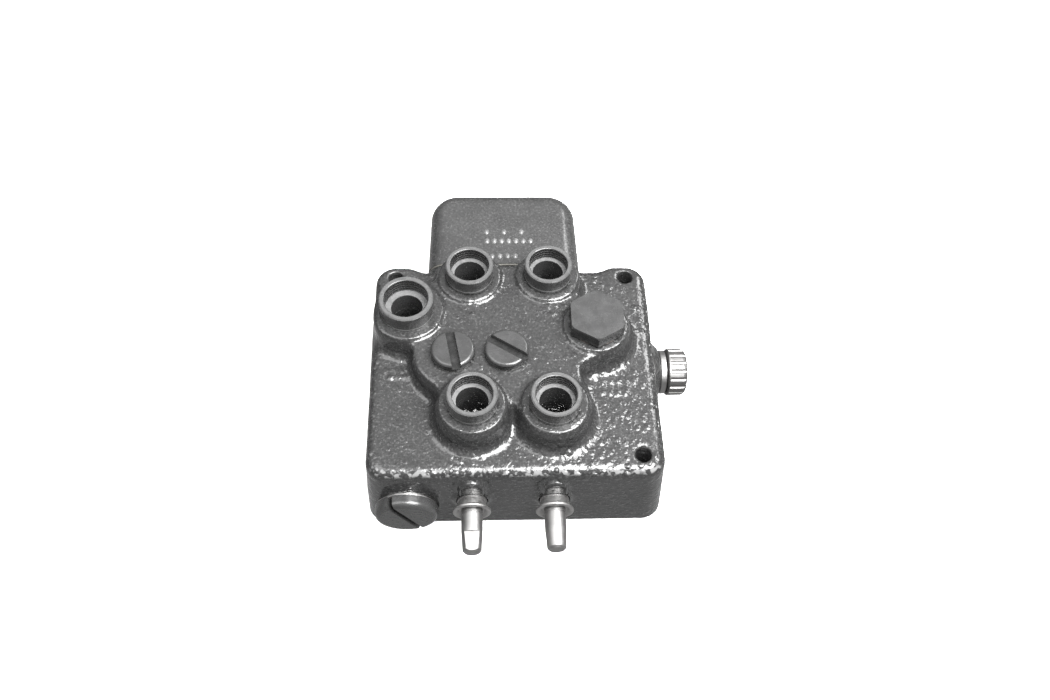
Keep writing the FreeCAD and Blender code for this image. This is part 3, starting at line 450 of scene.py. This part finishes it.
def polygon(x, y, points):
    """Signed distance to a closed polygon, negative inside."""
    nearest = np.full(np.broadcast(x, y).shape, 1e9)
    inside = np.zeros(nearest.shape, bool)
    for (ax, ay), (bx, by) in zip(points, points[1:] + points[:1]):
        length_squared = (bx - ax) ** 2 + (by - ay) ** 2
        along = np.clip(((x - ax) * (bx - ax) + (y - ay) * (by - ay)) / length_squared, 0, 1)
        nearest = np.minimum(nearest, np.hypot(x - ax - along * (bx - ax), y - ay - along * (by - ay)))
        if ay != by:
            crosses = ((ay > y) != (by > y)) & (x < (bx - ax) * (y - ay) / (by - ay) + ax)
            inside ^= crosses
    return np.where(inside, -nearest, nearest)


def lattice_noise(axes, size, seed):
    """Smooth random field between -1 and 1 on the grid's axes, with features about size across."""
    random = np.random.default_rng(seed)
    cells = [int(math.ceil((a[-1] - a[0]) / size)) + 2 for a in axes]
    field = random.uniform(-1, 1, cells)
    for i, a in enumerate(axes):
        place = (a - a[0]) / size
        low = np.floor(place).astype(int)
        t = place - low
        t = t * t * (3 - 2 * t)
        shape = [1, 1, 1]
        shape[i] = len(a)
        t = t.reshape(shape)
        field = np.take(field, low, i) * (1 - t) + np.take(field, low + 1, i) * t
    return field


def surface_net(field, axes, step):
    """Vertices and quads of the field's zero surface: one vertex for each cell that it passes through."""
    cells = tuple(n - 1 for n in field.shape)
    total = np.zeros(cells + (3,))
    count = np.zeros(cells)
    index = np.indices(cells)
    crossings = []
    for axis in range(3):
        low = np.take(field, range(0, field.shape[axis] - 1), axis)
        high = np.take(field, range(1, field.shape[axis]), axis)
        crossing = (low < 0) != (high < 0)
        crossings.append((crossing, low < 0))
        where = np.where(crossing, low / np.where(crossing, low - high, 1), 0)
        others = [a for a in range(3) if a != axis]
        for shift_a in (0, 1):
            for shift_b in (0, 1):
                cut = [slice(None)] * 3
                cut[others[0]] = slice(shift_a, cells[others[0]] + shift_a)
                cut[others[1]] = slice(shift_b, cells[others[1]] + shift_b)
                hit = crossing[tuple(cut)]
                total[..., axis] += np.where(hit, index[axis] + where[tuple(cut)], 0)
                total[..., others[0]] += np.where(hit, index[others[0]] + shift_a, 0)
                total[..., others[1]] += np.where(hit, index[others[1]] + shift_b, 0)
                count += hit
    used = count > 0
    number = np.full(cells, -1)
    number[used] = np.arange(used.sum())
    start = np.array([a[0] for a in axes])
    vertices = total[used] / count[used][:, None] * step + start
    quads = []
    for axis, (crossing, starts_inside) in enumerate(crossings):
        b, c = (axis + 1) % 3, (axis + 2) % 3
        places = np.argwhere(crossing)
        keep = (places[:, b] > 0) & (places[:, c] > 0)
        keep &= (places[:, b] < cells[b]) & (places[:, c] < cells[c])
        places = places[keep]
        corners = []
        for back_b, back_c in ((1, 1), (0, 1), (0, 0), (1, 0)):
            cell = places.copy()
            cell[:, b] -= back_b
            cell[:, c] -= back_c
            corners.append(number[tuple(cell.T)])
        face = np.stack(corners, 1)
        flip = ~starts_inside[tuple(places.T)]
        face[flip] = face[flip][:, ::-1]
        quads.append(face)
    return vertices, np.concatenate(quads)


def new_piece(name, vertices_mm, faces, look):
    """Mesh object from millimetre vertices, smooth shaded, with one material."""
    mesh = bpy.data.meshes.new(name)
    mesh.from_pydata((np.asarray(vertices_mm) * MM).tolist(), [], [list(map(int, f)) for f in faces])
    mesh.shade_smooth()
    mesh.materials.append(LOOKS[look])
    piece = bpy.data.objects.new(name, mesh)
    bpy.context.scene.collection.objects.link(piece)
    return piece


# ---------------------------------------------------------------- the casting


def plate_plan(x, y, z):
    """Outline of the block at every height: walls that lean out, a rear edge between corner lugs."""
    lean = 1 - z / PLATE_TOP
    left = -PLATE_HALF_X + (BASE_LEFT + PLATE_HALF_X) * lean
    right = PLATE_HALF_X + (BASE_RIGHT - PLATE_HALF_X) * lean
    front = PLATE_FRONT + (BASE_FRONT - PLATE_FRONT) * lean
    lug = np.clip((np.abs(x) - LUG_START) / LUG_SPREAD, 0, 1)
    rear = REAR_EDGE + (LUG_REAR - REAR_EDGE) * lug * lug * (3 - 2 * lug)
    dx = np.abs(x - (right + left) / 2) - (right - left) / 2 + CORNER_R
    dy = np.abs(y - (rear + front) / 2) - (rear - front) / 2 + CORNER_R
    return np.hypot(np.maximum(dx, 0), np.maximum(dy, 0)) + np.minimum(np.maximum(dx, dy), 0) - CORNER_R


def island_wall(x, y, z):
    """Sloping side wall of the raised island, before its top is cut level."""
    rise = (z - PLATE_TOP) / (PLATEAU_TOP - PLATE_TOP)
    bosses = []
    for port in PORTS:
        foot, top = {"inlet": (17.0, 15.9)}.get(port, (16.2, 14.4) if "front" in port else (15.4, 14.2))
        bosses.append((middle_mm("port_collar_" + port), foot, top))
    bosses.append((middle_mm("relief_plug"), 16.8, 14.7))
    bosses.append((middle_mm("check_plug_left"), 17.4, 16.2))
    outline = [(-45.0, 8.0), (-28.0, -25.5), (-17.5, -32.0), (-3.0, -25.0), (15.8, -33.0), (29.0, -26.0),
               (29.0, -8.0), (40.0, 2.0), (34.8, 24.0), (15.4, 46.0), (-18.5, 46.0), (-45.0, 32.0)]
    wall = polygon(x, y, outline) + ISLAND_LEAN * (z - PLATE_TOP)
    for centre, foot, top in bosses:
        boss = np.hypot(x - centre[0], y - centre[1]) - (foot + (top - foot) * rise)
        wall = union_round(wall, boss, BOSS_FILLET_R)
    return wall


def ledges(x, y, z, body):
    """Spot-faced rings round the ports and under the hexagon, added to the body."""
    rings = [(middle_mm("port_collar_" + port), 15.6 if port == "inlet" else 13.9) for port in PORTS]
    rings.append((middle_mm("relief_plug"), 14.1))
    height = np.abs(z - (LEDGE_TOP - LEDGE_HALF_HEIGHT)) - LEDGE_HALF_HEIGHT
    for centre, radius in rings:
        ring = both_round(np.hypot(x - centre[0], y - centre[1]) - radius, height, 0.5)
        body = union_round(body, ring + 0.0 * body, 0.9)
    return body


def pip_heights(x, y):
    """Height that the plain cast pips add to the top of the block."""
    heights = 0.0
    for row_x, row_y, count in PLATE_PIPS:
        for i in range(count):
            away = np.hypot(x - row_x - i * PIP_PITCH, y - row_y)
            heights = np.maximum(heights, PIP_HEIGHT * np.clip(1 - (away / PIP_R) ** 2, 0, 1))
    return heights


def casting_field(axes):
    """Distance field of the cast block, lumpy where it is as cast and flat where it is machined."""
    x = axes[0][:, None, None]
    y = axes[1][None, :, None]
    z = axes[2][None, None, :]
    lumps = 0.07 * lattice_noise(axes, 3.3, 11) + 0.05 * lattice_noise(axes, 1.7, 12)
    swell = 0.2 * lattice_noise(axes, 17.0, 13)
    top = union_round(z - PLATE_TOP, both_round(island_wall(x, y, z), z - PLATEAU_TOP, 1.3), ROOT_FILLET_R)
    top = ledges(x, y, z, top) - pip_heights(x, y)
    body = both_round(plate_plan(x, y, z), top, TOP_EDGE_R)
    pad_low, pad_high = box_mm("solenoid_cover")
    pad = rectangle(x, z, (pad_low[0], pad_low[2]), (pad_high[0], pad_high[2] - 0.2), 7.5)
    pad_depth = np.abs(y - (PAD_REAR - PAD_HALF_DEPTH)) - PAD_HALF_DEPTH
    pad = both_round(pad + 0.0 * y, pad_depth + 0.0 * x, 0.4)
    body = union_round(body, pad, 1.2)
    knob_root = np.hypot(y - KNOB_Y, z - KNOB_Z) - (NECK_END_R + NECK_SPREAD * (NECK_END - x))
    neck_length = np.abs(x - NECK_END + NECK_HALF_LENGTH) - NECK_HALF_LENGTH
    knob_root = both_round(knob_root * 0.76, neck_length + 0.0 * y, 0.5)
    body = union_round(body, knob_root, 2.0)
    for side in SIDES:
        pin_x = middle_mm("override_pin_" + side)[0]
        arch = rectangle(x, z, (pin_x - ARCH_HALF_WIDTH, ARCH_FOOT), (pin_x + ARCH_HALF_WIDTH, ARCH_TOP),
                         ARCH_HALF_WIDTH)
        arch = np.minimum(arch, np.hypot(x - pin_x, z - SPOOL_Z) - ARCH_RING_R)
        arch_depth = np.abs(y - PAD_FRONT - PAD_HALF_DEPTH) - PAD_HALF_DEPTH
        arch = both_round(arch + 0.0 * y, arch_depth + 0.0 * x, 0.6)
        body = union_round(body, arch, 1.4)
    cast = np.clip((z - 1.5) / 2, 0, 1) * np.clip((LUG_REAR - 0.6 - y) / 2, 0, 1)
    cast = cast * np.clip((LEDGE_TOP - 0.4 - z) / 0.8, 0.12, 1) * np.clip((y - PAD_FRONT - 0.3) / 1.5, 0, 1)
    cast = cast * np.clip((NECK_END - 0.4 - x) / 1.5, 0, 1)
    body = body + (lumps + swell) * cast
    body = np.maximum(both_round(body, -z + 0.0 * x, 0.8), BASE_LEFT - x)
    return drill(x, y, z, body)


def upright_bore(x, y, z, centre, bore):
    """Upright cylinder given by its radius, middle height and half length."""
    radius, middle, half_length = bore
    return np.maximum(np.hypot(x - centre[0], y - centre[1]) - radius, np.abs(z - middle) - half_length)


def drill(x, y, z, body):
    """Holes that show, and the bores that the moving pieces need, cut out of the casting."""
    mounting_holes = [(-MOUNT_X, MOUNT_REAR_Y), (MOUNT_X, MOUNT_REAR_Y), (MOUNT_X, MOUNT_FRONT_Y)]
    for hole_x, hole_y in mounting_holes:
        hole = np.hypot(x - hole_x, y - hole_y) - MOUNT_R
        body = both_round(body, -hole + 0.0 * z, 0.7)
    for port in PORTS:
        low, high = box_mm("port_collar_" + port)
        centre = (low + high) / 2
        seat_r = (high[0] - low[0]) / 2 - COLLAR_SEAT_INSET
        away = np.hypot(x - centre[0], y - centre[1])
        shaft = np.maximum(away - PORT_SHAFT_R, PORT_SHAFT_END - z)
        seat = np.maximum(away - seat_r, low[2] - z)
        body = np.maximum(body, -np.minimum(shaft, seat))
    for side in SIDES:
        centre = middle_mm("spool_" + side)
        away = np.hypot(x - centre[0], z - centre[2])
        bore = np.maximum(away - SPOOL_BORE_R, SPOOL_BORE_FRONT - y)
        for groove_y in GROOVE_PLACES:
            bore = np.minimum(bore, np.maximum(away - GROOVE_R, np.abs(y - groove_y) - GROOVE_HALF_LENGTH))
        bore = np.minimum(bore, np.maximum(away - PIN_BORE_R, y - PIN_BORE_END))
        body = np.maximum(body, -bore)
        chamber = middle_mm("check_ball_" + side)
        body = np.maximum(body, -upright_bore(x, y, z, chamber, CHECK_BORE))
    body = np.maximum(body, -upright_bore(x, y, z, middle_mm("relief_poppet"), RELIEF_BORE))
    away = np.hypot(y - KNOB_Y, z - KNOB_Z)
    body = np.maximum(body, -np.maximum(away - BYPASS_BORE_R, BYPASS_BORE_START - x))
    plug = middle_mm("strainer_plug")
    away = np.hypot(x - plug[0], z - plug[2])
    return np.maximum(body, -np.maximum(away - STRAINER_SEAT_R, y - STRAINER_FACE))


def cast_block():
    """The casting's visible mesh, which stands for the two CAD nodes that the block is split into."""
    step = 0.9
    low = np.array([BASE_LEFT - 1.5, PAD_FRONT - 1.2, -0.9])
    high = np.array([NECK_END + 1.0, LUG_REAR + 1.2, LEDGE_TOP + 1.2])
    axes = [np.arange(a, b + step, step) for a, b in zip(low, high)]
    vertices, quads = surface_net(casting_field(axes), axes, step)
    piece = new_piece("cast_block", vertices, quads, "cast_paint")
    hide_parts("valve_body", "port_island")
    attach(piece, "valve")


cast_block()


def cover_marks():
    """Rows of plain raised pips on top of the solenoid cover."""
    top = box_mm("solenoid_cover")[1][2]
    rings, around = 6, 20
    vertices, faces = [], []
    for row_x, row_y, count, pitch in COVER_PIPS:
        for i in range(count):
            first = len(vertices)
            vertices.append((row_x + i * pitch, row_y, top + PIP_HEIGHT))
            for ring in range(1, rings + 1):
                out = ring / rings
                for k in range(around):
                    turn = 2 * math.pi * k / around
                    vertices.append((row_x + i * pitch + 0.7 * PIP_R * out * math.cos(turn),
                                     row_y + 0.9 * PIP_R * out * math.sin(turn),
                                     top + PIP_HEIGHT * (1 - out * out) - 0.03 * out))
            for k in range(around):
                after = (k + 1) % around
                faces.append((first, first + 1 + k, first + 1 + after))
                for ring in range(rings - 1):
                    inner = first + 1 + ring * around
                    outer = inner + around
                    faces.append((inner + k, outer + k, outer + after, inner + after))
    # The pips are painted lighter: a painted highlight.
    piece = new_piece("cover_marks", vertices, faces, "pip_highlight_paint")
    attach(piece, "valve")


cover_marks()


def live_spring(node, axis):
    """A spring pressed between the block and a moving body.

    axis is 0, 1 or 2 for X, Y or Z, and is not used.
    """
    mesh = frame["nodes"][node].data.copy()
    mesh.name = "live_" + node
    spring = bpy.data.objects.new("live_" + node, mesh)
    bpy.context.scene.collection.objects.link(spring)
    for corner in box_mm(node):
        end = middle_mm(node) * MM
        end[axis] = corner[axis] * MM
    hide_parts(node)
    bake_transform(spring)


for side in SIDES:
    live_spring("return_spring_" + side, 1)
    live_spring("check_spring_" + side, 2)
live_spring("relief_spring", 2)

# ---------------------------------------------------------------- floor, light and camera


def pale_floor():
    """Large pale floor under the valve."""
    mesh = bpy.data.meshes.new("floor")
    half = 4.0
    corners = [(-half, -half, 0), (half, -half, 0), (half, half, 0), (-half, half, 0)]
    mesh.from_pydata(corners, [], [(0, 1, 2, 3)])
    floor = bpy.data.objects.new("floor", mesh)
    floor.location.z = cad_box[0].z - 0.0002
    bpy.context.scene.collection.objects.link(floor)
    s = Shader("floor_white")
    s.set(Base_Color=(0.93, 0.93, 0.93, 1.0), Roughness=0.9)
    s.set(Specular_IOR_Level=0.0)
    s.set(Emission_Color=(1.0, 1.0, 1.0, 1.0), Emission_Strength=0.45)
    floor.data.materials.append(s.material)
    floor.visible_glossy = False
    floor.visible_diffuse = False
    floor.visible_shadow = False


def soft_light(name, place_mm, size_mm, watts):
    """Rectangular studio light aimed at the middle of the valve."""
    data = bpy.data.lights.new(name, "AREA")
    data.shape = "RECTANGLE"
    data.size, data.size_y = size_mm[0] * MM, size_mm[1] * MM
    data.energy = watts
    lamp = bpy.data.objects.new(name, data)
    lamp.location = Vector(place_mm) * MM
    aim = Vector(LIGHT_TARGET) * MM - lamp.location
    lamp.rotation_mode = "QUATERNION"
    lamp.rotation_quaternion = aim.to_track_quat("-Z", "Y")
    bpy.context.scene.collection.objects.link(lamp)


LIGHT_TARGET = (0.0, 10.0, 30.0)
WORLD_STRENGTH = 1.4
# Brightness of the surroundings by height: -1 is straight down, 0 the horizon, 1 straight up.
WORLD_LEVELS = [(-0.999, 0.42), (-0.35, 0.42), (-0.12, 0.10), (0.22, 0.10),
                (0.50, 0.45), (0.80, 0.80), (0.999, 1.0)]


def studio():
    """Surroundings pale overhead and below and dark round the horizon, and soft lights from above."""
    world = bpy.data.worlds.new("studio")
    bpy.context.scene.world = world
    world.use_nodes = True
    tree = world.node_tree
    background = tree.nodes["Background"]
    direction = tree.nodes.new("ShaderNodeTexCoord")
    parts = tree.nodes.new("ShaderNodeSeparateXYZ")
    ramp = tree.nodes.new("ShaderNodeValToRGB")
    tree.links.new(direction.outputs["Generated"], parts.inputs[0])
    up = tree.nodes.new("ShaderNodeMapRange")
    up.inputs["From Min"].default_value = -1.0
    tree.links.new(parts.outputs["Z"], up.inputs["Value"])
    tree.links.new(up.outputs["Result"], ramp.inputs["Fac"])
    stops = ramp.color_ramp.elements
    for place, level in WORLD_LEVELS:
        stop = stops.new((place + 1) / 2)
        stop.color = (level, level, level, 1.0)
    stops.remove(stops[0])
    stops.remove(stops[-1])
    tree.links.new(ramp.outputs["Color"], background.inputs["Color"])
    background.inputs["Strength"].default_value = WORLD_STRENGTH
    soft_light("key", (205.0, -118.0, 555.0), (420.0, 420.0), 15.0)
    soft_light("rim", (460.0, 470.0, 600.0), (260.0, 260.0), 3.0)
    soft_light("fill", (-500.0, -100.0, 900.0), (700.0, 700.0), 7.0)
    bpy.context.scene.view_settings.view_transform = "Standard"


def camera():
    """Camera high above the front, a little to the left: turns in degrees, places in millimetres."""
    azimuth, elevation, roll = math.radians(-4.84), math.radians(57.44), math.radians(3.65)
    distance, target, lens = 445.66, Vector((6.22, 21.11, 20.0)), 33.55
    back = Vector((math.sin(azimuth) * math.cos(elevation), -math.cos(azimuth) * math.cos(elevation),
                   math.sin(elevation)))
    data = bpy.data.cameras.new("camera")
    data.lens = lens
    data.sensor_width = 36.0
    data.clip_start, data.clip_end = 0.01, 20.0
    eye = bpy.data.objects.new("camera", data)
    eye.location = (target + back * distance) * MM
    right = (-back).cross(Vector((0, 0, 1))).normalized()
    up = right.cross(-back)
    turned_right = math.cos(roll) * right + math.sin(roll) * up
    turned_up = -math.sin(roll) * right + math.cos(roll) * up
    matrix = eye.matrix_world.to_3x3()
    for row in range(3):
        matrix[row] = (turned_right[row], turned_up[row], back[row])
    eye.rotation_mode = "QUATERNION"
    eye.rotation_quaternion = matrix.to_quaternion()
    bpy.context.scene.collection.objects.link(eye)
    bpy.context.scene.camera = eye


pale_floor()
studio()
camera()
